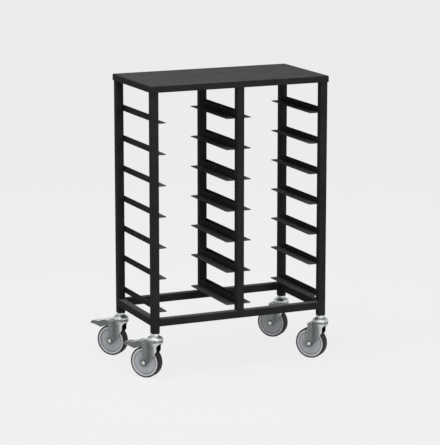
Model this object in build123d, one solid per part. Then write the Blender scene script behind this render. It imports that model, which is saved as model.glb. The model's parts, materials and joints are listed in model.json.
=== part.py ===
from build123d import *
from math import asin, atan2, cos, hypot, sin, sqrt
import os

# A tray return trolley: two bays side by side, seven trays high, on four swivel casters.
# Millimetres. +X runs along the long side to the right, -Y is the front, +Z is up.
# The origin is on the floor, under the middle of the frame.

# Frame of square steel tube
tube = 30.0
tube_wall = 1.5
tube_corner = 3.0
bay_width = 330.0
frame_depth = 396.0
total_height = 1152.0
rail_height = 208.0
leg_drop = 26.0

# Folded sheet top
top_sheet = 1.5
top_overhang = 4.0
top_flange = 25.0
top_corner = 4.0
top_bend = 3.0

# Tray runners, a folded steel angle on each inner side of each bay
levels = 7
level_pitch = 122.5
lowest_gap = 23.0
lowest_extra = 8.0
runner_sheet = 1.5
runner_leg = 26.0
runner_ledge = 39.0
runner_inset = 16.0
runner_bend = 1.5
ledge_corner = 10.0
leg_corner = 3.0

# Plugs in the feet of the corner posts
plug_flange = 2.0
plug_depth = 30.0
plug_play = 0.1
plug_chamfer = 1.2

# Swivel casters
wheel_diameter = 125.0
tyre_width = 35.0
tyre_thickness = 5.5
tyre_shoulder = 4.0
trail = 38.0
trail_angle = 130.0
core_inset = 1.0
dish_depth = 4.5
rim_band = 8.0
rim_slope = 3.0
hub_radius = 17.0
hub_slope = 3.0
bush_radius = 9.0
bush_stand = 1.0
axle_radius = 5.0
running_fit = 0.05
loose_fit = 0.2
wheel_side_play = 0.5

# Pressed steel fork
fork_sheet = 2.5
leg_play = 4.5
crown_radius = 32.0
crown_gap = 18.5
crown_skirt = 9.0
shoulder_drop = 18.0
flare_end = 25.0
lobe_radius = 18.5
tail_past_axle = 8.5

# Swivel head
cup_radius = 32.0
cup_gap = 1.2
cup_side = 12.0
cup_shoulder = 4.5
cup_shoulder_in = 2.6
cup_lip_round = 1.0
neck_radius = 17.0
neck_height = 7.5
ball_circle = 23.0
ball_radius = 3.0
ball_play = 0.3
ball_sides = 8
king_radius = 6.0
king_head_radius = 10.5
king_head_height = 5.0
king_engaged = 26.0

# Axle bolt and nut
bolt_head_radius = 7.5
bolt_head_height = 5.5
bolt_dome = 1.5
nut_radius = 8.5
nut_height = 7.0
bolt_end = 3.0

# Brake pedal, its pin and its shoe, on the two casters of the left side
pedal_sheet = 2.0
pedal_play = 0.7
plate_gap = 2.5
plate_length = 90.0
plate_hump = 1.0
hump_place = 19.0
plate_dip = 8.0
dip_start = 47.0
dip_end = 64.0
tip_drop = 21.0
tip_lean = 1.0
pedal_straight = 37.0
pedal_tip_radius = 10.0
flange_reach = 10.0
flange_place = 32.0
flange_front_drop = 8.5
flange_back_drop = 13.0
flange_back_place = 64.0
pin_radius = 3.0
pin_past_axle = 2.0
pin_above_wheel = 10.0
pin_head = 1.6
pin_head_radius = 5.0
arm_radius = 6.0
shoe_width = 30.0
shoe_gap = 6.4
shoe_start = 20.0
shoe_length = 19.0

frame_length = 3 * tube + 2 * bay_width
post_x = (frame_length - tube) / 2
post_y = (frame_depth - tube) / 2
under_top = total_height - top_sheet
rail_middle = rail_height + tube / 2
foot_height = rail_height - leg_drop
plug_bottom = foot_height - plug_flange
wheel_radius = wheel_diameter / 2
crown_top = wheel_diameter + crown_gap + fork_sheet
leg_inside = tyre_width / 2 + leg_play
leg_outside = leg_inside + fork_sheet
fork_tail = trail + tail_past_axle

os.makedirs("parts", exist_ok=True)


def save(name, solids):
    shape = solids[0] if len(solids) == 1 else Compound(children=list(solids))
    export_step(shape, f"parts/{name}.step")


def square_tube(length):
    # A rounded square tube along +Z, standing on the origin
    outside = RectangleRounded(tube, tube, tube_corner)
    inside_size = tube - 2 * tube_wall
    inside = RectangleRounded(inside_size, inside_size, tube_corner - tube_wall)
    return extrude(outside - inside, length)


def level_height(level):
    # Underside of the ledge of a level, counted from 1 at the top
    lowest = rail_height + tube + lowest_gap
    if level == levels:
        return lowest
    return lowest + lowest_extra + (levels - level) * level_pitch


def post(x, y, bottom):
    return Pos(x, y, bottom) * square_tube(under_top - bottom)


def long_rail(y):
    length = 2 * post_x - tube
    return Pos(-length / 2, y, rail_middle) * Rot(0, 90, 0) * square_tube(length)


def side_rail(x):
    length = 2 * post_y - tube
    return Pos(x, -length / 2, rail_middle) * Rot(-90, 0, 0) * square_tube(length)


def tray_box(wall):
    # The space that a folded tray takes when its sheet is drawn in by a wall
    length = frame_length + 2 * (top_overhang - wall)
    depth = frame_depth + 2 * (top_overhang - wall)
    height = top_flange - wall
    block = extrude(RectangleRounded(length, depth, top_corner - wall), height)
    return fillet(block.faces().sort_by(Axis.Z)[-1].edges(), top_bend - wall)


def top_panel():
    panel = tray_box(0) - tray_box(top_sheet)
    return Pos(0, 0, total_height - top_flange) * panel


def runner():
    # One angle: its leg lies on the plane X = 0 and its ledge points to +X
    length = frame_depth - 2 * runner_inset
    outline = Polyline(
        (0, runner_leg),
        (0, 0),
        (runner_ledge, 0),
        (runner_ledge, runner_sheet),
        (runner_sheet, runner_sheet),
        (runner_sheet, runner_leg),
        close=True,
    )
    section = make_face(outline)
    outer = section.vertices().sort_by_distance((0, 0, 0))[0]
    section = fillet(outer, runner_bend + runner_sheet)
    inner = section.vertices().sort_by_distance((runner_sheet, runner_sheet, 0))[0]
    section = fillet(inner, runner_bend)
    angle = extrude(Plane.XZ * section, length / 2, both=True)
    upright = angle.edges().filter_by(Axis.Z).group_by(Axis.X)[-1]
    angle = fillet(upright, ledge_corner)
    leg_ends = angle.edges().filter_by(Axis.X).group_by(Axis.Z)[-1]
    return fillet(leg_ends, leg_corner)


def runner_pair(bay, level):
    # The two runners that carry one tray, on the facing sides of a bay
    middle = bay * (bay_width + tube) / 2
    height = level_height(level)
    left = Pos(middle - bay_width / 2, 0, height) * runner()
    right = Pos(middle + bay_width / 2, 0, height) * Rot(0, 0, 180) * runner()
    return [left, right]


def post_plug():
    # Square plug in the foot of a post, bored for the king bolt
    inside = tube - 2 * tube_wall - 2 * plug_play
    flange = extrude(RectangleRounded(tube, tube, tube_corner), plug_flange)
    flange = chamfer(flange.faces().sort_by(Axis.Z)[0].edges(), plug_chamfer)
    body = extrude(RectangleRounded(inside, inside, tube_corner - tube_wall), plug_depth)
    bore = Cylinder(king_radius + plug_play, 4 * plug_depth)
    return Pos(0, 0, plug_bottom) * (flange + Pos(0, 0, plug_flange) * body - bore)


# The caster is drawn with its swivel axis on Z, trailing towards +X, its axle along Y
def ring_section(points):
    # A closed outline of (radius, width) points, with the same points on the far side
    far = [(radius, -width) for radius, width in reversed(points)]
    return make_face(Polyline(*points, *far, close=True))


def on_axle(solid):
    return Pos(trail, 0, wheel_radius) * solid


def tyre():
    inside = wheel_radius - tyre_thickness
    half = tyre_width / 2
    section = ring_section([(inside, half), (wheel_radius, half)])
    section = fillet(section.vertices().group_by(Axis.X)[-1], tyre_shoulder)
    return on_axle(revolve(section, Axis.Y))


def wheel_core():
    rim = wheel_radius - tyre_thickness
    rim_side = tyre_width / 2 - core_inset
    dish = rim_side - dish_depth
    hub_side = leg_inside - wheel_side_play - bush_stand
    section = ring_section(
        [
            (bush_radius, hub_side),
            (hub_radius, hub_side),
            (hub_radius + hub_slope, dish),
            (rim - rim_band - rim_slope, dish),
            (rim - rim_band, rim_side),
            (rim, rim_side),
        ]
    )
    return on_axle(revolve(section, Axis.Y))


def wheel_bush():
    side = leg_inside - wheel_side_play
    section = ring_section([(axle_radius + running_fit, side), (bush_radius, side)])
    return on_axle(revolve(section, Axis.Y))


def crown_outline(radius, leg, back):
    # Plan of the fork at one height: round at the front, then drawn in to the flat legs
    front = ThreePointArc((0, -radius), (-radius, 0), (0, radius))
    sides = Polyline(
        (0, radius),
        (flare_end, leg),
        (back, leg),
        (back, -leg),
        (flare_end, -leg),
        (0, -radius),
    )
    return make_face(front + sides)


def fork_form(wall, back):
    # The fork's outside, or with a wall its inside, before the sides are cut to shape
    top = crown_top - wall
    shoulder = crown_top - shoulder_drop
    leg = leg_outside - wall
    upper = crown_outline(crown_radius - wall, leg, back)
    lower = crown_outline(leg, leg, back)
    flare = loft([Plane.XY.offset(top) * upper, Plane.XY.offset(shoulder) * lower], ruled=True)
    return flare + extrude(Plane.XY.offset(shoulder) * lower, -shoulder)


def tangent_point(start, centre, radius):
    # Where a line from start touches the lower left side of a circle
    dx = centre[0] - start[0]
    dy = centre[1] - start[1]
    reach = hypot(dx, dy)
    heading = atan2(dy, dx) - asin(radius / reach)
    run = sqrt(reach**2 - radius**2)
    return (start[0] + run * cos(heading), start[1] + run * sin(heading))


def fork_side():
    # Side view of the fork, from the crown down to the round lobes at the axle
    front = (-crown_radius, crown_top - crown_skirt)
    touch = tangent_point(front, (trail, wheel_radius), lobe_radius)
    sheet = make_face(
        Polyline(
            (-crown_radius, crown_top),
            front,
            touch,
            (trail, wheel_radius),
            (fork_tail, wheel_radius),
            (fork_tail, crown_top),
            close=True,
        )
    )
    return sheet + Pos(trail, wheel_radius) * Circle(lobe_radius)


def across(radius, half_length):
    # A round bar along Y, centred on the origin
    return Rot(90, 0, 0) * Cylinder(radius, 2 * half_length)


def pin_place():
    return Pos(trail + pin_past_axle, 0, wheel_diameter + pin_above_wheel)


def fork(braked):
    blank = extrude(Plane.XZ * fork_side(), 2 * crown_radius, both=True)
    form = fork_form(0, trail + lobe_radius) & blank
    form = form - fork_form(fork_sheet, 2 * fork_tail)
    form = form - Pos(0, 0, crown_top) * Cylinder(king_radius + running_fit, 4 * fork_sheet)
    form = form - on_axle(across(axle_radius + loose_fit, 2 * leg_outside))
    if braked:
        form = form - pin_place() * across(pin_radius + running_fit, 2 * leg_outside)
    return form


def caster_cup():
    # Fixed upper race of the swivel head, a domed cup with a neck under the post
    lip = crown_top + cup_gap
    neck_bottom = plug_bottom - neck_height
    outline = Polyline(
        (king_radius, lip),
        (cup_radius, lip),
        (cup_radius, lip + cup_side),
        (cup_radius - cup_shoulder_in, lip + cup_side + cup_shoulder),
        (neck_radius, neck_bottom),
        (neck_radius, plug_bottom),
        (king_radius, plug_bottom),
        close=True,
    )
    section = make_face(outline)
    corners = section.vertices().group_by(Axis.X)[-1].sort_by(Axis.Y)
    section = fillet(corners[0], cup_lip_round)
    cup = revolve(Plane.XZ * section, Axis.Z)
    return cup - ball_ring(ball_play)


def ball_ring(grown):
    # The circle of balls in the swivel head, as one ring with a section of flat sides
    height = crown_top + ball_play + ball_radius
    reach = ball_radius + grown
    polygon = RegularPolygon(reach, ball_sides, major_radius=False, rotation=180 / ball_sides)
    section = Pos(ball_circle, height) * polygon
    return revolve(Plane.XZ * section, Axis.Z)


def king_bolt():
    # Bolt that holds the fork under the cup and screws into the post's plug
    head_top = crown_top - fork_sheet - ball_play
    shank_top = plug_bottom + king_engaged
    head = Pos(0, 0, head_top) * extrude(RegularPolygon(king_head_radius, 6), -king_head_height)
    shank = extrude(Circle(king_radius), shank_top - head_top)
    return head + Pos(0, 0, head_top) * shank


def axle_bolt():
    # Bolt with a low round head on the +Y side, and its lock nut on the other
    head = Plane.XZ.offset(-leg_outside) * Circle(bolt_head_radius)
    head = extrude(head, -bolt_head_height)
    head = fillet(head.faces().sort_by(Axis.Y)[-1].edges(), bolt_dome)
    shank = extrude(Plane.XZ * Circle(axle_radius), -leg_outside)
    reach = leg_outside + nut_height + bolt_end
    shank = shank + extrude(Plane.XZ * Circle(axle_radius), reach)
    nut = Plane.XZ.offset(leg_outside) * (RegularPolygon(nut_radius, 6) - Circle(axle_radius))
    return [on_axle(head + shank), on_axle(extrude(nut, nut_height))]


def pedal_curve(lowered=0):
    # Side view of the tread plate, from behind the crown to the bent-down tip
    plate = crown_top - lowered
    start = fork_tail + plate_gap
    return Spline(
        (start, plate),
        (start + hump_place, plate + plate_hump),
        (start + dip_start, plate - plate_dip),
        (start + dip_end, plate - plate_dip),
        (start + plate_length, plate - tip_drop),
    )


def under_plate():
    # Everything below the tread plate, and all of the room in front of it
    curve = pedal_curve(pedal_sheet)
    start = curve @ 0
    end = curve @ 1
    rest = Polyline(
        (end.X, end.Y),
        (end.X + tip_drop, 0),
        (0, 0),
        (0, 2 * crown_top),
        (start.X, 2 * crown_top),
        (start.X, start.Y),
    )
    return make_face(curve + rest)


def pedal_side():
    # Side view of the whole pedal: plate, deep side flanges and the two arms at the pin
    pin = pin_place().position
    curve = pedal_curve()
    start = curve @ 0
    end = curve @ 1
    rest = Polyline(
        (end.X, end.Y),
        (end.X - tip_lean, end.Y - pedal_sheet),
        (start.X + flange_back_place, pin.Z - flange_back_drop),
        (start.X + flange_place, wheel_diameter - flange_reach),
        (start.X, pin.Z - flange_front_drop),
        (pin.X, pin.Z - arm_radius),
        (pin.X, pin.Z + arm_radius),
        (start.X - pedal_sheet / 2, pin.Z + arm_radius),
        (start.X, start.Y),
    )
    return make_face(curve + rest) + Pos(pin.X, pin.Z) * Circle(arm_radius)


def pedal_plan(inset):
    # Plan of the pedal, or of its inside when inset: parallel sides drawn in to a round tip
    half = leg_inside - pedal_play - inset
    straight = fork_tail + plate_gap + pedal_straight
    tip = fork_tail + plate_gap + plate_length - pedal_tip_radius
    body = Pos(straight / 2, 0) * Rectangle(straight, 2 * half)
    nose = Pos(tip, 0) * Circle(pedal_tip_radius - inset)
    return make_hull(body.edges() + nose.edges())


def both_ways(plane_sketch, half):
    return extrude(Plane.XZ * plane_sketch, half, both=True)


def brake_pedal():
    # Pressed channel that turns on the pin between the fork's legs
    pedal = both_ways(pedal_side(), leg_inside) & extrude(pedal_plan(0), 2 * crown_top)
    inside = extrude(pedal_plan(pedal_sheet), 2 * crown_top)
    pedal = pedal - (both_ways(under_plate(), leg_inside) & inside)
    return pedal - pin_place() * across(pin_radius + running_fit, 2 * leg_inside)


def brake_shoe():
    # Block under the tread plate, hollowed to the round of the tyre
    start = trail + pin_past_axle + shoe_start
    block = Pos(start + shoe_length / 2, crown_top) * Rectangle(shoe_length, crown_top)
    shoe = both_ways(block, shoe_width / 2) & both_ways(under_plate(), shoe_width)
    return shoe - on_axle(across(wheel_radius + shoe_gap, shoe_width))


def brake_pin():
    # Riveted pin through both legs of the fork
    pin = across(pin_radius, leg_outside)
    for side in (-1, 1):
        head = across(pin_head_radius, pin_head / 2)
        pin = pin + Pos(0, side * (leg_outside + pin_head / 2), 0) * head
    return pin_place() * pin


# Frame: six posts, four rails and the sheet top
for row, y in (("front", -post_y), ("back", post_y)):
    save(f"post_{row}_left", [post(-post_x, y, foot_height)])
    save(f"post_{row}_middle", [post(0, y, rail_height + tube)])
    save(f"post_{row}_right", [post(post_x, y, foot_height)])
    save(f"rail_{row}", [long_rail(y)])
save("rail_left", [side_rail(-post_x)])
save("rail_right", [side_rail(post_x)])
save("top_panel", [top_panel()])

# Runners: a pair for each tray
for side, bay in (("left", -1), ("right", 1)):
    for level in range(1, levels + 1):
        save(f"tray_runners_{side}_{level}", runner_pair(bay, level))

# Casters: what is fixed under each post, then what swivels, rolls and brakes
caster_places = {
    "front_left": Pos(-post_x, -post_y, 0),
    "front_right": Pos(post_x, -post_y, 0),
    "back_left": Pos(-post_x, post_y, 0),
    "back_right": Pos(post_x, post_y, 0),
}
braked = ("front_left", "back_left")
save("post_plugs", [place * post_plug() for place in caster_places.values()])
save("king_bolts", [place * king_bolt() for place in caster_places.values()])
save("ball_rings", [place * ball_ring(0) for place in caster_places.values()])
for corner, place in caster_places.items():
    turned = place * Rot(0, 0, trail_angle)
    save(f"caster_cup_{corner}", [turned * caster_cup()])
    save(f"caster_fork_{corner}", [turned * fork(corner in braked)])
    save(f"axle_bolt_{corner}", [turned * piece for piece in axle_bolt()])
    save(f"wheel_bush_{corner}", [turned * wheel_bush()])
    save(f"wheel_core_{corner}", [turned * wheel_core()])
    save(f"tyre_{corner}", [turned * tyre()])
    if corner in braked:
        save(f"brake_pedal_{corner}", [turned * brake_pedal()])
        save(f"brake_shoe_{corner}", [turned * brake_shoe()])
        save(f"brake_pin_{corner}", [turned * brake_pin()])
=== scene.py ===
import json
import math

import bmesh
import bpy
from mathutils import Matrix, Vector


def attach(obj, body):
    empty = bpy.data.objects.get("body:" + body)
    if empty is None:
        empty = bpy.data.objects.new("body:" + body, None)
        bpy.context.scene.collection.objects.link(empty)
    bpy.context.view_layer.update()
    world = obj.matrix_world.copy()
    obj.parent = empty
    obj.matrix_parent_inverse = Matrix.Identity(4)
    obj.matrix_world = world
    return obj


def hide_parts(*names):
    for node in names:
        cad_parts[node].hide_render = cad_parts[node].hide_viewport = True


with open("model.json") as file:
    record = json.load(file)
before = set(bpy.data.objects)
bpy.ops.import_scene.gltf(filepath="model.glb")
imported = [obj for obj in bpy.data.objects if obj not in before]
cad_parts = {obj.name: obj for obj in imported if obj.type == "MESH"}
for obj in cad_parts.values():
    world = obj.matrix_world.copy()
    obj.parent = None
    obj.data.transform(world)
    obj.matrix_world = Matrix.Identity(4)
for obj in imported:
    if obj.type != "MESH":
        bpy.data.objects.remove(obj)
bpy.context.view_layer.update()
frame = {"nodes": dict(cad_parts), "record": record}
nodes = frame["nodes"]

# Sizes that the extra pieces share with the solids, in metres
MM = 0.001
TUBE = 30 * MM
POST_X = 360 * MM
POST_Y = 183 * MM
RAIL_BOTTOM = 208 * MM
RAIL_TOP = RAIL_BOTTOM + TUBE
RUNNER_FACES = (-345 * MM, -15 * MM, 15 * MM, 345 * MM)
RUNNER_END = 182 * MM
LEVELS = [261 * MM] + [(391.5 + step * 122.5) * MM for step in range(6)]
WHEEL_RADIUS = 62.5 * MM
TRAIL = 38 * MM
TRAIL_ANGLE = math.radians(130)
LEG_OUTSIDE = 24.5
CASTERS = {
    "front_left": (-POST_X, -POST_Y),
    "front_right": (POST_X, -POST_Y),
    "back_left": (-POST_X, POST_Y),
    "back_right": (POST_X, POST_Y),
}

# Camera: fitted to the straight edges of the photograph
CAMERA_PLACE = (-3.44078, -7.73439, 2.31461)
CAMERA_YAW = 23.974
CAMERA_PITCH = 11.738
CAMERA_LENS = 174.65
CAMERA_SENSOR = 36.0

# The pale studio, as the camera and reflections see it, and the light that it gives
STUDIO_LEVEL = 0.871
WORLD_LIGHT = 0.30
FLOOR_GLOW = 0.9
FLOOR_SELF_LIT = 0.9
FLOOR_REACH = 60.0


# Material nodes
def node(tree, kind, inputs=None, **settings):
    made = tree.nodes.new(kind)
    for name, value in settings.items():
        setattr(made, name, value)
    for socket, value in (inputs or {}).items():
        if isinstance(value, bpy.types.NodeSocket):
            tree.links.new(value, made.inputs[socket])
        else:
            made.inputs[socket].default_value = value
    return made


def grey(level):
    return (level, level, level, 1.0)


def blank_material(name):
    material = bpy.data.materials.new(name)
    material.use_nodes = True
    material.node_tree.nodes.clear()
    return material, material.node_tree


def noise(tree, scale, detail=3.0, rough=0.55, distortion=0.0, stretch=None):
    place = node(tree, "ShaderNodeTexCoord").outputs["Object"]
    if stretch:
        place = node(tree, "ShaderNodeMapping", {"Vector": place, "Scale": stretch}).outputs[0]
    made = node(
        tree,
        "ShaderNodeTexNoise",
        {"Vector": place, "Scale": scale, "Detail": detail, "Roughness": rough, "Distortion": distortion},
    )
    return made.outputs[0]


def spread(tree, value, low, high, start=0.3, end=0.7):
    made = node(
        tree,
        "ShaderNodeMapRange",
        {0: value, 1: start, 2: end, 3: low, 4: high},
    )
    return made.outputs[0]


def maths(tree, operation, first, second=0.0, clamp=False):
    made = node(tree, "ShaderNodeMath", {0: first, 1: second}, operation=operation, use_clamp=clamp)
    return made.outputs[0]


def vectors(tree, operation, first, second=(0, 0, 0), out=0):
    return node(tree, "ShaderNodeVectorMath", {0: first, 1: second}, operation=operation).outputs[out]


def mix_colours(tree, factor, first, second):
    made = node(tree, "ShaderNodeMix", {0: factor, 6: first, 7: second}, data_type="RGBA")
    return made.outputs[2]


def bump(tree, height, distance, normal=None):
    inputs = {"Strength": 1.0, "Distance": distance, "Height": height}
    if normal:
        inputs["Normal"] = normal
    return node(tree, "ShaderNodeBump", inputs).outputs[0]


def soft_edges(tree, radius):
    # Rounds the look of the pressed and cut edges by a fraction of a millimetre
    return node(tree, "ShaderNodeBevel", {"Radius": radius}, samples=6).outputs[0]


def ramp(tree, value, stops):
    made = node(tree, "ShaderNodeValToRGB", {0: value})
    elements = made.color_ramp.elements
    while len(elements) < len(stops):
        elements.new(1.0)
    for element, (place, colour) in zip(elements, stops):
        element.position = place
        element.color = colour
    return made.outputs[0]


def finish_surface(tree, inputs):
    shader = node(tree, "ShaderNodeBsdfPrincipled", inputs)
    node(tree, "ShaderNodeOutputMaterial", {"Surface": shader.outputs[0]})


def facing_up(tree, low, high, start, end):
    # Painted light from above: a factor from low on the sides to high on the upward faces
    facing = node(tree, "ShaderNodeTexCoord").outputs["Normal"]
    upward = node(tree, "ShaderNodeSeparateXYZ", {0: facing}).outputs[2]
    return spread(tree, upward, low, high, start, end)


def powder_coat(name):
    # Satin black powder coat with its fine pebbled skin, paler on upward faces: settled dust and painted light
    # from above
    material, tree = blank_material(name)
    cloud = noise(tree, 14.0, detail=4.0)
    pebble = noise(tree, 1500.0, detail=2.0)
    peel = noise(tree, 260.0, detail=1.0)
    colour = mix_colours(
        tree, spread(tree, cloud, 0.0, 1.0), (0.0215, 0.0225, 0.0225, 1), (0.0305, 0.0316, 0.0316, 1)
    )
    place = node(tree, "ShaderNodeTexCoord").outputs["Object"]
    height = node(tree, "ShaderNodeSeparateXYZ", {0: place}).outputs[2]
    # Painted light from above, with settled dust: upward faces lightened most on the rails, less on the ledges,
    # least on the sheet top
    low = spread(tree, height, RAIL_DUST_AND_LIGHT, RUNNER_DUST_AND_LIGHT, RAIL_TOP + 8 * MM, RAIL_TOP + 16 * MM)
    dust_and_light = spread(tree, height, low, SHEET_DUST_AND_LIGHT, LEVELS[-1] + 40 * MM, LEVELS[-1] + 60 * MM)
    colour = vectors(tree, "MULTIPLY", colour, facing_up(tree, 1.0, dust_and_light, 0.6, 0.98))
    roughness = spread(tree, pebble, 0.44, 0.58)
    skin = bump(tree, peel, 0.00003, soft_edges(tree, 0.8 * MM))
    skin = bump(tree, pebble, 0.000015, skin)
    finish_surface(
        tree,
        {
            "Base Color": colour,
            "Roughness": roughness,
            "Specular IOR Level": 0.008,
            "Normal": skin,
        },
    )
    return material


def plated_steel(name, dark, light, rough_low, rough_high, spangle=90.0):
    # Zinc-plated steel: cloudy in tone, with a faint fine grain
    material, tree = blank_material(name)
    cloud = noise(tree, spangle, detail=3.0, distortion=0.6)
    fine = noise(tree, 1800.0, detail=2.0)
    colour = mix_colours(tree, spread(tree, cloud, 0.0, 1.0), dark, light)
    roughness = spread(tree, noise(tree, 240.0, detail=4.0), rough_low, rough_high)
    finish_surface(
        tree,
        {
            "Base Color": colour,
            "Metallic": 1.0,
            "Roughness": roughness,
            "Normal": bump(tree, fine, 0.000006, soft_edges(tree, 1.0 * MM)),
        },
    )
    return material


# How much paler the rails' tops, the runners' ledges and the sheet top are made: settled dust and painted light
# from above
RAIL_DUST_AND_LIGHT = 5.2
RUNNER_DUST_AND_LIGHT = 4.0
SHEET_DUST_AND_LIGHT = 1.6

# Painted highlight and shade of the pressed steel along the trail, from the front of the crown to the tail of the
# legs: a painted highlight at the front fold and a painted dark band behind it
PRESS_FROM = -32 * MM
PRESS_TO = 58 * MM
PRESS_HIGHLIGHT_AND_SHADE = (
    (0.0, (0.30, 0.32, 0.32, 1)),
    (0.10, (0.66, 0.68, 0.69, 1)),
    (0.24, (0.62, 0.64, 0.65, 1)),
    (0.34, (0.21, 0.235, 0.235, 1)),
    (0.56, (0.105, 0.12, 0.12, 1)),
    (0.70, (0.19, 0.21, 0.20, 1)),
    (1.0, (0.21, 0.235, 0.225, 1)),
)

PLAIN_TONES = (
    (0.0, (0.20, 0.22, 0.215, 1)),
    (1.0, (0.24, 0.26, 0.25, 1)),
)
# How much the edges are lightened: polished wear and a painted highlight
EDGE_RUB_AND_HIGHLIGHT = 0.8

# Painted highlight and shade of the swivel cup from its lip up to its neck: painted shade in the groove over the
# lip, painted highlight bands on the dome and the neck
CUP_FROM = 147 * MM
CUP_TO = 180 * MM
CUP_HIGHLIGHT_AND_SHADE = (
    (0.0, (0.20, 0.21, 0.21, 1)),
    (0.09, (0.42, 0.44, 0.44, 1)),
    (0.13, (0.15, 0.155, 0.155, 1)),
    (0.22, (0.20, 0.21, 0.21, 1)),
    (0.28, (0.62, 0.64, 0.65, 1)),
    (0.44, (0.60, 0.62, 0.63, 1)),
    (0.56, (0.34, 0.36, 0.36, 1)),
    (0.72, (0.26, 0.28, 0.28, 1)),
    (0.80, (0.58, 0.60, 0.61, 1)),
    (1.0, (0.66, 0.68, 0.69, 1)),
)

# Tone of the wheel centre from its axle out to the tread: darker towards the hub, painted shade in the step,
# paler on the rim
WHEEL_TONES_AND_STEP_SHADE = (
    (0.0, (0.464, 0.482, 0.525, 1)),
    (0.36, (0.512, 0.531, 0.573, 1)),
    (0.76, (0.61, 0.628, 0.671, 1)),
    (0.80, (0.34, 0.35, 0.375, 1)),
    (0.85, (0.37, 0.38, 0.405, 1)),
    (0.885, (0.756, 0.775, 0.805, 1)),
    (1.0, (0.732, 0.75, 0.781, 1)),
)


def caster_space(tree, corner, kind="Object"):
    # The caster's own axes: X along the trail, Y along the axle
    x, y = CASTERS[corner] if kind == "Object" else (0, 0)
    place = node(tree, "ShaderNodeTexCoord").outputs[kind]
    inputs = {"Vector": place, "Location": (x, y, 0), "Rotation": (0, 0, TRAIL_ANGLE)}
    return node(tree, "ShaderNodeMapping", inputs, vector_type="TEXTURE").outputs[0]


def rubbed_and_highlit_edges(tree, softened):
    # 1 along the edges, where handling has polished the plating and a highlight is painted, and 0 on the faces
    plain = node(tree, "ShaderNodeNewGeometry").outputs["Normal"]
    same = vectors(tree, "DOT_PRODUCT", softened, plain, out=1)
    return spread(tree, same, 1.0, 0.0, 0.80, 0.99)


def pressed_steel(name, corner, folded=True):
    # Zinc-plated sheet with painted light: on the fork a painted highlight at the front fold, dull flats, and
    # painted shade inside and round the axle; on the pedal painted light on its upward faces; on both, edges
    # lightened by polished wear and a painted highlight
    material, tree = blank_material(name)
    local = node(tree, "ShaderNodeSeparateXYZ", {0: caster_space(tree, corner)}).outputs
    tone = ramp(
        tree,
        spread(tree, local[0], 0.0, 1.0, PRESS_FROM, PRESS_TO),
        PRESS_HIGHLIGHT_AND_SHADE if folded else PLAIN_TONES,
    )
    cloud = spread(tree, noise(tree, 90.0, distortion=0.6), 0.86, 1.12)
    tone_and_painted_light = vectors(tree, "MULTIPLY", tone, cloud)
    if folded:
        # Painted shade round the axle bolt: the legs darken within 15 mm of the axle
        spoke = vectors(tree, "SUBTRACT", caster_space(tree, corner), (TRAIL, 0, WHEEL_RADIUS))
        radius = vectors(tree, "LENGTH", vectors(tree, "MULTIPLY", spoke, (1, 0, 1)), out=1)
        tone_and_painted_light = vectors(tree, "MULTIPLY", tone_and_painted_light, spread(tree, radius, 0.42, 1.0, 9 * MM, 15 * MM))
    else:
        # Painted light from above: the pedal's upward faces are made paler
        tone_and_painted_light = vectors(tree, "MULTIPLY", tone_and_painted_light, facing_up(tree, 0.62, 2.6, 0.3, 0.9))
    softened = soft_edges(tree, (1.4 if folded else 2.2) * MM)
    # Edges lightened: polished wear and a painted highlight
    edges = maths(tree, "MULTIPLY", rubbed_and_highlit_edges(tree, softened), EDGE_RUB_AND_HIGHLIGHT)
    tone_and_painted_light = mix_colours(tree, edges, tone_and_painted_light, (0.78, 0.80, 0.80, 1))
    if folded:
        # Painted shade on the inside faces of the fork, those turned away from its outside
        front = maths(tree, "MINIMUM", local[0], 0.0)
        outward = node(tree, "ShaderNodeCombineXYZ", {0: front, 1: local[1]}).outputs[0]
        facing = caster_space(tree, corner, "Normal")
        turned = vectors(tree, "DOT_PRODUCT", outward, facing, out=1)
        inside_shade = spread(tree, turned, 1.0, 0.0, -0.012, -0.004)
        tone_and_painted_light = mix_colours(tree, inside_shade, tone_and_painted_light, (0.07, 0.075, 0.075, 1))
    fine = noise(tree, 1800.0, detail=2.0)
    finish_surface(
        tree,
        {
            "Base Color": tone_and_painted_light,
            "Metallic": 1.0,
            "Roughness": spread(tree, noise(tree, 240.0, detail=4.0), 0.26, 0.38),
            "Normal": bump(tree, fine, 0.000006, softened),
        },
    )
    return material


def cup_steel(name):
    # Bright zinc of the swivel cups, with painted shade in the groove over the lip and painted highlight bands up
    # the dome
    material, tree = blank_material(name)
    place = node(tree, "ShaderNodeTexCoord").outputs["Object"]
    height = node(tree, "ShaderNodeSeparateXYZ", {0: place}).outputs[2]
    tone = ramp(tree, spread(tree, height, 0.0, 1.0, CUP_FROM, CUP_TO), CUP_HIGHLIGHT_AND_SHADE)
    cloud = spread(tree, noise(tree, 70.0, distortion=0.5), 0.88, 1.08)
    fine = noise(tree, 1800.0, detail=2.0)
    finish_surface(
        tree,
        {
            "Base Color": vectors(tree, "MULTIPLY", tone, cloud),
            "Metallic": 1.0,
            "Roughness": spread(tree, noise(tree, 240.0, detail=4.0), 0.38, 0.48),
            "Normal": bump(tree, fine, 0.000006, soft_edges(tree, 0.6 * MM)),
        },
    )
    return material


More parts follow.
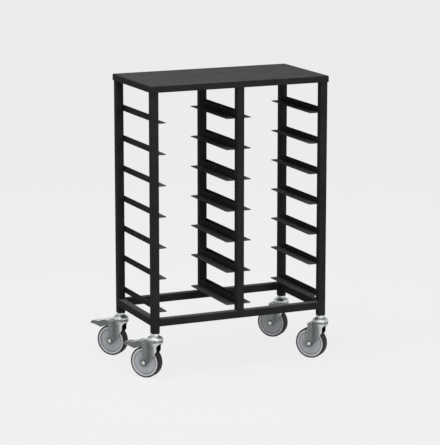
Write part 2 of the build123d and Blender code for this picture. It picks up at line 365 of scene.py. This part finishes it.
def wheel_plastic(name, corner):
    # Moulded grey wheel centre, darker towards the hub, with painted shade in its step and a paler rim
    material, tree = blank_material(name)
    spoke = vectors(tree, "SUBTRACT", caster_space(tree, corner), (TRAIL, 0, WHEEL_RADIUS))
    radius = vectors(tree, "LENGTH", vectors(tree, "MULTIPLY", spoke, (1, 0, 1)), out=1)
    tone = ramp(tree, spread(tree, radius, 0.0, 1.0, 0.0, 57 * MM), WHEEL_TONES_AND_STEP_SHADE)
    cloud = spread(tree, noise(tree, 45.0, detail=5.0), 0.93, 1.06)
    texture = noise(tree, 1200.0)
    finish_surface(
        tree,
        {
            "Base Color": vectors(tree, "MULTIPLY", tone, cloud),
            "Roughness": spread(tree, texture, 0.32, 0.44),
            "Specular IOR Level": 0.4,
            "Normal": bump(tree, texture, 0.00001, soft_edges(tree, 0.6 * MM)),
        },
    )
    return material


def moulded(name, dark, light, rough_low, rough_high, grain, depth, specular=0.4):
    # Moulded plastic or rubber with a fine grain
    material, tree = blank_material(name)
    cloud = noise(tree, 45.0, detail=5.0)
    texture = noise(tree, grain, detail=3.0)
    finish_surface(
        tree,
        {
            "Base Color": mix_colours(tree, spread(tree, cloud, 0.0, 1.0), dark, light),
            "Roughness": spread(tree, texture, rough_low, rough_high),
            "Specular IOR Level": specular,
            "Normal": bump(tree, texture, depth, soft_edges(tree, 0.6 * MM)),
        },
    )
    return material


finishes = {
    "black_powder_coat": powder_coat("black_powder_coat"),
    "zinc_plate": plated_steel(
        "zinc_plate", (0.17, 0.19, 0.185, 1), (0.25, 0.275, 0.265, 1), 0.24, 0.36
    ),
    "zinc_bright": plated_steel(
        "zinc_bright", (0.50, 0.525, 0.53, 1), (0.64, 0.66, 0.67, 1), 0.26, 0.36
    ),
    "cup_steel": cup_steel("cup_steel"),
    "bright_fixings": plated_steel(
        "bright_fixings", (0.60, 0.61, 0.61, 1), (0.74, 0.75, 0.74, 1), 0.16, 0.28
    ),
    "hardened_steel": plated_steel(
        "hardened_steel", (0.45, 0.45, 0.46, 1), (0.55, 0.55, 0.56, 1), 0.12, 0.2
    ),
    "wheel_grey": moulded(
        "wheel_grey", (0.33, 0.345, 0.375, 1), (0.38, 0.395, 0.425, 1), 0.34, 0.46, 1200.0, 0.00001
    ),
    "tyre_rubber": moulded(
        "tyre_rubber", (0.012, 0.012, 0.0125, 1), (0.019, 0.019, 0.02, 1), 0.5, 0.68, 900.0, 0.00003, 0.2
    ),
    "bearing_plastic": moulded(
        "bearing_plastic", (0.5, 0.5, 0.48, 1), (0.56, 0.56, 0.54, 1), 0.4, 0.5, 1200.0, 0.00001
    ),
    "brake_rubber": moulded(
        "brake_rubber", (0.014, 0.014, 0.014, 1), (0.024, 0.024, 0.024, 1), 0.6, 0.78, 900.0, 0.00003
    ),
    "foot_plug": moulded(
        "foot_plug", (0.010, 0.010, 0.010, 1), (0.016, 0.016, 0.016, 1), 0.42, 0.55, 1000.0, 0.00001
    ),
}


for corner in CASTERS:
    finishes["fork_" + corner] = pressed_steel("fork_" + corner, corner)
    finishes["pedal_" + corner] = pressed_steel("pedal_" + corner, corner, folded=False)
    finishes["wheel_" + corner] = wheel_plastic("wheel_" + corner, corner)


def dress(piece, slot, finish=None):
    piece.data.materials.clear()
    piece.data.materials.append(finishes[finish or slot])


for part in frame["record"]["subparts"]:
    dress(nodes[part["node"]], part["material_slot"])
for corner in ("front_left", "back_left"):
    dress(nodes["brake_pedal_" + corner], "zinc_plate", "pedal_" + corner)
    dress(nodes["brake_pin_" + corner], "bright_fixings", "pedal_" + corner)


# Extra pieces
def add_piece(name, builder, body, slot, finish=None, replaced=(), sharp=30):
    mesh = bpy.data.meshes.new(name)
    bmesh.ops.recalc_face_normals(builder, faces=builder.faces)
    builder.to_mesh(mesh)
    builder.free()
    for face in mesh.polygons:
        face.use_smooth = True
    mesh.set_sharp_from_angle(angle=math.radians(sharp))
    piece = bpy.data.objects.new(name, mesh)
    bpy.context.scene.collection.objects.link(piece)
    dress(piece, slot, finish)
    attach(piece, body)
    if replaced:
        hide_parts(*replaced)
    return piece


def caster_place(corner):
    x, y = CASTERS[corner]
    return Matrix.Translation((x, y, 0)) @ Matrix.Rotation(TRAIL_ANGLE, 4, "Z")


def axle_place(corner):
    # Frame of the axle: local Z runs along it, out of the side with the bolt's head
    middle = Matrix.Translation((TRAIL, 0, WHEEL_RADIUS))
    return caster_place(corner) @ middle @ Matrix.Rotation(math.radians(-90), 4, "X")


def turn(builder, profile, place, start=0.0, sweep=360.0, count=96):
    # Turns a closed profile of (radius, height) points, in mm, about local Z.
    # A part turn fades into its own inner radius at both ends
    whole = sweep >= 360
    steps = count if whole else count + 1
    inner = profile[0][0]
    rings = []
    for step in range(steps):
        share = step / count
        angle = math.radians(start + sweep * share)
        fade = 1.0 if whole else min(1.0, 0.3 + 12 * min(share, 1 - share))
        ring = []
        for radius, height in profile:
            radius = inner + (radius - inner) * fade
            point = Vector((radius * math.cos(angle), radius * math.sin(angle), height)) * MM
            ring.append(builder.verts.new(place @ point))
        rings.append(ring)
    pairs = list(zip(rings, rings[1:] + rings[:1])) if whole else list(zip(rings, rings[1:]))
    for ring, after in pairs:
        for i in range(len(profile)):
            j = (i + 1) % len(profile)
            builder.faces.new((ring[i], ring[j], after[j], after[i]))
    if not whole:
        builder.faces.new(rings[0])
        builder.faces.new(list(reversed(rings[-1])))


CUP_PROFILE = (
    (6.0, 147.3),
    (31.2, 147.3),
    (31.8, 147.6),
    (32.0, 148.2),
    (32.0, 150.0),
    (31.7, 150.6),
    (30.7, 151.0),
    (30.4, 151.6),
    (30.5, 152.2),
    (31.3, 152.7),
    (31.8, 153.4),
    (32.0, 154.2),
    (32.0, 157.8),
    (31.7, 159.4),
    (30.9, 161.2),
    (29.5, 163.0),
    (27.2, 164.9),
    (23.8, 167.0),
    (20.3, 169.2),
    (18.2, 170.8),
    (17.3, 172.0),
    (17.0, 173.4),
    (17.0, 178.9),
    (16.7, 179.6),
    (16.1, 179.9),
    (6.0, 179.9),
)
CORE_HALF = (
    (9.0, 20.5),
    (15.6, 20.5),
    (16.6, 20.1),
    (17.1, 19.2),
    (18.9, 13.6),
    (19.6, 12.6),
    (20.8, 12.1),
    (22.5, 12.0),
    (44.2, 12.0),
    (45.3, 12.1),
    (46.2, 12.5),
    (48.3, 15.4),
    (49.0, 16.1),
    (49.9, 16.45),
    (51.0, 16.5),
    (55.9, 16.5),
    (56.7, 16.2),
    (56.95, 15.4),
)
LIP_PROFILE = (
    (30.0, 143.0),
    (31.3, 143.0),
    (31.8, 143.3),
    (32.0, 143.9),
    (32.0, 145.2),
    (31.8, 145.7),
    (31.3, 145.95),
    (30.0, 145.95),
)
BOLT_HEAD = (
    (2.2, 24.5),
    (7.3, 24.5),
    (7.5, 24.8),
    (7.5, 27.6),
    (7.2, 28.6),
    (6.4, 29.4),
    (5.0, 29.85),
    (3.4, 30.0),
    (2.6, 29.9),
    (2.2, 29.5),
)


def mirrored(half):
    return list(half) + [(radius, -height) for radius, height in reversed(half)]


def thread(radius, depth, pitch, start, end):
    # Outline of a threaded end: the grooves of the thread, then a bevelled tip
    points = [(0.0, start), (radius, start)]
    place = start
    while place + pitch < end - depth:
        points += [(radius, place + 0.2 * pitch), (radius - depth, place + 0.6 * pitch)]
        place += pitch
        points.append((radius, place))
    return points + [(radius - depth, end), (0.0, end)]


def hexagon_nut(builder, place, radius, low, high, bevel, bore):
    # Hexagon with its outer corners bevelled, closed round the bolt
    def ring(size, height):
        corners = []
        for side in range(6):
            angle = math.radians(60 * side)
            point = Vector((size * math.cos(angle), size * math.sin(angle), height)) * MM
            corners.append(builder.verts.new(place @ point))
        return corners

    rings = [ring(bore, low), ring(radius, low), ring(radius, high + bevel)]
    rings += [ring(radius - 1.6 * abs(bevel), high), ring(bore, high)]
    for one, two in zip(rings, rings[1:] + rings[:1]):
        for i in range(6):
            j = (i + 1) % 6
            builder.faces.new((one[i], one[j], two[j], two[i]))


# The fork's front window: half its width, its top, and how its top corners are cut
WINDOW_HALF = 19.0
WINDOW_TOP = 140.0
WINDOW_CUT = 5.0


def window_cutter(place):
    # Block that opens the front of the fork between its legs
    builder = bmesh.new()
    half, top, cut = WINDOW_HALF, WINDOW_TOP, WINDOW_CUT
    outline = [(-half, 90.0), (half, 90.0), (half, top - cut)]
    for step in range(1, 6):
        angle = math.radians(18 * step)
        reach = cut * (1 - math.cos(angle))
        outline.append((half - reach, top - cut + cut * math.sin(angle)))
    for step in range(5, 0, -1):
        angle = math.radians(18 * step)
        reach = cut * (1 - math.cos(angle))
        outline.append((-half + reach, top - cut + cut * math.sin(angle)))
    outline.append((-half, top - cut))
    ends = []
    for x in (-60.0, -8.0):
        ends.append([builder.verts.new(place @ (Vector((x, y, z)) * MM)) for y, z in outline])
    for i in range(len(outline)):
        j = (i + 1) % len(outline)
        builder.faces.new((ends[0][i], ends[0][j], ends[1][j], ends[1][i]))
    builder.faces.new(ends[0])
    builder.faces.new(list(reversed(ends[1])))
    bmesh.ops.recalc_face_normals(builder, faces=builder.faces)
    return builder


def carve(piece, builder):
    # Cuts the block out of the piece for good
    mesh = bpy.data.meshes.new("cutter")
    builder.to_mesh(mesh)
    builder.free()
    cutter = bpy.data.objects.new("cutter", mesh)
    bpy.context.scene.collection.objects.link(cutter)
    change = piece.modifiers.new("carve", "BOOLEAN")
    change.operation = "DIFFERENCE"
    change.solver = "EXACT"
    change.object = cutter
    graph = bpy.context.evaluated_depsgraph_get()
    carved = bpy.data.meshes.new_from_object(piece.evaluated_get(graph))
    piece.modifiers.clear()
    piece.data = carved
    bpy.data.objects.remove(cutter)
    carved.set_sharp_from_angle(angle=math.radians(30))


for corner in CASTERS:
    swivel = caster_place(corner)
    axle = axle_place(corner)

    builder = bmesh.new()
    builder.from_mesh(nodes["caster_fork_" + corner].data)
    bmesh.ops.remove_doubles(builder, verts=builder.verts, dist=0.000001)
    fork = add_piece(
        "fork_" + corner,
        builder,
        "caster_" + corner,
        "zinc_plate",
        "fork_" + corner,
        ["caster_fork_" + corner],
    )
    carve(fork, window_cutter(swivel))

    builder = bmesh.new()
    turn(builder, CUP_PROFILE, swivel)
    add_piece(
        "cup_" + corner,
        builder,
        "trolley_frame",
        "zinc_plate",
        "cup_steel",
        ["caster_cup_" + corner],
    )

    # Crown lip round the front half of the crown, in bright zinc: a painted highlight line along the crown's edge
    builder = bmesh.new()
    turn(builder, LIP_PROFILE, swivel, start=84, sweep=192)
    add_piece("crown_lip_" + corner, builder, "caster_" + corner, "zinc_plate", "zinc_bright")

    builder = bmesh.new()
    turn(builder, mirrored(CORE_HALF), axle)
    add_piece(
        "wheel_centre_" + corner,
        builder,
        "wheel_" + corner,
        "wheel_grey",
        "wheel_" + corner,
        ["wheel_core_" + corner],
    )

    builder = bmesh.new()
    turn(builder, BOLT_HEAD, axle, count=48)
    socket = ((0.0, 24.5), (2.3, 24.5), (2.3, 27.0), (0.0, 27.0))
    turn(builder, socket, axle, count=6)
    turn(builder, ((0.0, -24.5), (4.95, -24.5), (4.95, 24.5), (0.0, 24.5)), axle, count=32)
    hexagon_nut(builder, axle, 8.4, -24.5, -30.3, 0.7, 4.9)
    collar = ((4.9, -30.3), (6.9, -30.3), (6.7, -31.1), (6.1, -31.5), (4.9, -31.5))
    turn(builder, collar, axle, count=48)
    tip = [(radius, -height) for radius, height in thread(4.95, 0.45, 1.0, 30.0, 34.4)]
    turn(builder, tip, axle, count=32)
    bmesh.ops.remove_doubles(builder, verts=builder.verts, dist=0.000001)
    add_piece(
        "axle_fixing_" + corner,
        builder,
        "caster_" + corner,
        "bright_fixings",
        replaced=["axle_bolt_" + corner],
    )


# Weld beads
BEAD_RIPPLE = 1.3 * MM
BEAD_SIDES = 8


def weld(builder, start, end, radius):
    # A rippled bead along a seam, tapered at both ends and half sunk in the corner
    start, end = Vector(start), Vector(end)
    run = end - start
    count = max(4, round(run.length / BEAD_RIPPLE) * 2)
    across = run.orthogonal().normalized()
    up = run.cross(across).normalized()
    rings = []
    for step in range(count + 1):
        share = step / count
        taper = min(1.0, 0.35 + 5 * min(share, 1 - share))
        size = radius * taper * (1.0 if step % 2 else 0.84)
        middle = start + run * share
        ring = []
        for side in range(BEAD_SIDES):
            angle = 2 * math.pi * side / BEAD_SIDES
            ring.append(builder.verts.new(middle + size * (across * math.cos(angle) + up * math.sin(angle))))
        rings.append(ring)
    for one, two in zip(rings, rings[1:]):
        for i in range(BEAD_SIDES):
            j = (i + 1) % BEAD_SIDES
            builder.faces.new((one[i], one[j], two[j], two[i]))
    builder.faces.new(rings[0])
    builder.faces.new(list(reversed(rings[-1])))


HALF = TUBE / 2
SEAM = 12 * MM
RAIL_BEAD = 1.9 * MM
RUNNER_BEAD = 1.2 * MM

builder = bmesh.new()
for front in (-1, 1):
    inner = front * (POST_Y - HALF)
    for side in (-1, 1):
        face = side * (POST_X - HALF)
        for height in (RAIL_BOTTOM, RAIL_TOP):
            weld(builder, (face, front * POST_Y - SEAM, height), (face, front * POST_Y + SEAM, height), RAIL_BEAD)
            weld(builder, (side * POST_X - SEAM, inner, height), (side * POST_X + SEAM, inner, height), RAIL_BEAD)
        weld(builder, (face, inner, RAIL_BOTTOM + 3 * MM), (face, inner, RAIL_TOP - 3 * MM), RAIL_BEAD)
        edge = side * HALF
        weld(builder, (edge, front * POST_Y - SEAM, RAIL_TOP), (edge, front * POST_Y + SEAM, RAIL_TOP), RAIL_BEAD)
    weld(builder, (-SEAM, inner, RAIL_TOP), (SEAM, inner, RAIL_TOP), RAIL_BEAD)
    for face in RUNNER_FACES:
        for height in LEVELS:
            end = front * RUNNER_END
            weld(builder, (face, end, height + 4 * MM), (face, end, height + 22 * MM), RUNNER_BEAD)
add_piece("weld_beads", builder, "trolley_frame", "black_powder_coat", sharp=60)


# Camera
def make_camera():
    data = bpy.data.cameras.new("camera")
    data.lens = CAMERA_LENS
    data.sensor_width = CAMERA_SENSOR
    data.clip_end = 200.0
    camera = bpy.data.objects.new("camera", data)
    camera.location = CAMERA_PLACE
    camera.rotation_euler = (math.radians(90 - CAMERA_PITCH), 0, math.radians(-CAMERA_YAW))
    bpy.context.scene.collection.objects.link(camera)
    bpy.context.scene.camera = camera


# Light
def soft_lamp(name, place, aim, size, power):
    data = bpy.data.lights.new(name, "AREA")
    data.shape = "RECTANGLE"
    data.size, data.size_y = size
    data.energy = power
    lamp = bpy.data.objects.new(name, data)
    lamp.location = place
    heading = Vector(aim) - Vector(place)
    lamp.rotation_euler = heading.to_track_quat("-Z", "Y").to_euler()
    bpy.context.scene.collection.objects.link(lamp)


def seen_directly(tree):
    # 1 for a ray that shows the studio itself: from the camera, a gloss or a clear surface
    path = node(tree, "ShaderNodeLightPath").outputs
    gloss = node(
        tree, "ShaderNodeMath", {0: path["Is Camera Ray"], 1: path["Is Glossy Ray"]}, operation="MAXIMUM"
    )
    clear = node(
        tree, "ShaderNodeMath", {0: gloss.outputs[0], 1: path["Is Transmission Ray"]}, operation="MAXIMUM"
    )
    return clear.outputs[0]


def make_world():
    world = bpy.data.worlds.new("studio")
    bpy.context.scene.world = world
    world.use_nodes = True
    tree = world.node_tree
    tree.nodes.clear()
    shown = node(tree, "ShaderNodeBackground", {"Color": grey(STUDIO_LEVEL), "Strength": 1.0})
    light = node(tree, "ShaderNodeBackground", {"Color": grey(1.0), "Strength": WORLD_LIGHT})
    mix = node(
        tree, "ShaderNodeMixShader", {0: seen_directly(tree), 1: light.outputs[0], 2: shown.outputs[0]}
    )
    node(tree, "ShaderNodeOutputWorld", {"Surface": mix.outputs[0]})


def make_floor():
    material, tree = blank_material("studio_floor")
    matt = node(tree, "ShaderNodeBsdfDiffuse", {"Color": grey(STUDIO_LEVEL)})
    glow = node(tree, "ShaderNodeEmission", {"Color": grey(FLOOR_GLOW), "Strength": 1.0})
    share = node(
        tree, "ShaderNodeMath", {0: seen_directly(tree), 1: FLOOR_SELF_LIT}, operation="MULTIPLY"
    )
    mix = node(
        tree, "ShaderNodeMixShader", {0: share.outputs[0], 1: matt.outputs[0], 2: glow.outputs[0]}
    )
    node(tree, "ShaderNodeOutputMaterial", {"Surface": mix.outputs[0]})
    mesh = bpy.data.meshes.new("studio_floor")
    reach = FLOOR_REACH
    corners = [(-reach, -reach, 0), (reach, -reach, 0), (reach, reach, 0), (-reach, reach, 0)]
    mesh.from_pydata(corners, [], [(0, 1, 2, 3)])
    mesh.materials.append(material)
    floor = bpy.data.objects.new("studio_floor", mesh)
    bpy.context.scene.collection.objects.link(floor)


make_camera()
make_world()
make_floor()
soft_lamp("lamp_overhead", (-0.6, -0.4, 3.3), (0, 0, 0.6), (2.4, 1.8), 57.0)
soft_lamp("lamp_front", (1.2, -8.0, 2.4), (0, 0, 0.5), (1.6, 3.6), 150.0)

bpy.context.scene.view_settings.view_transform = "Standard"
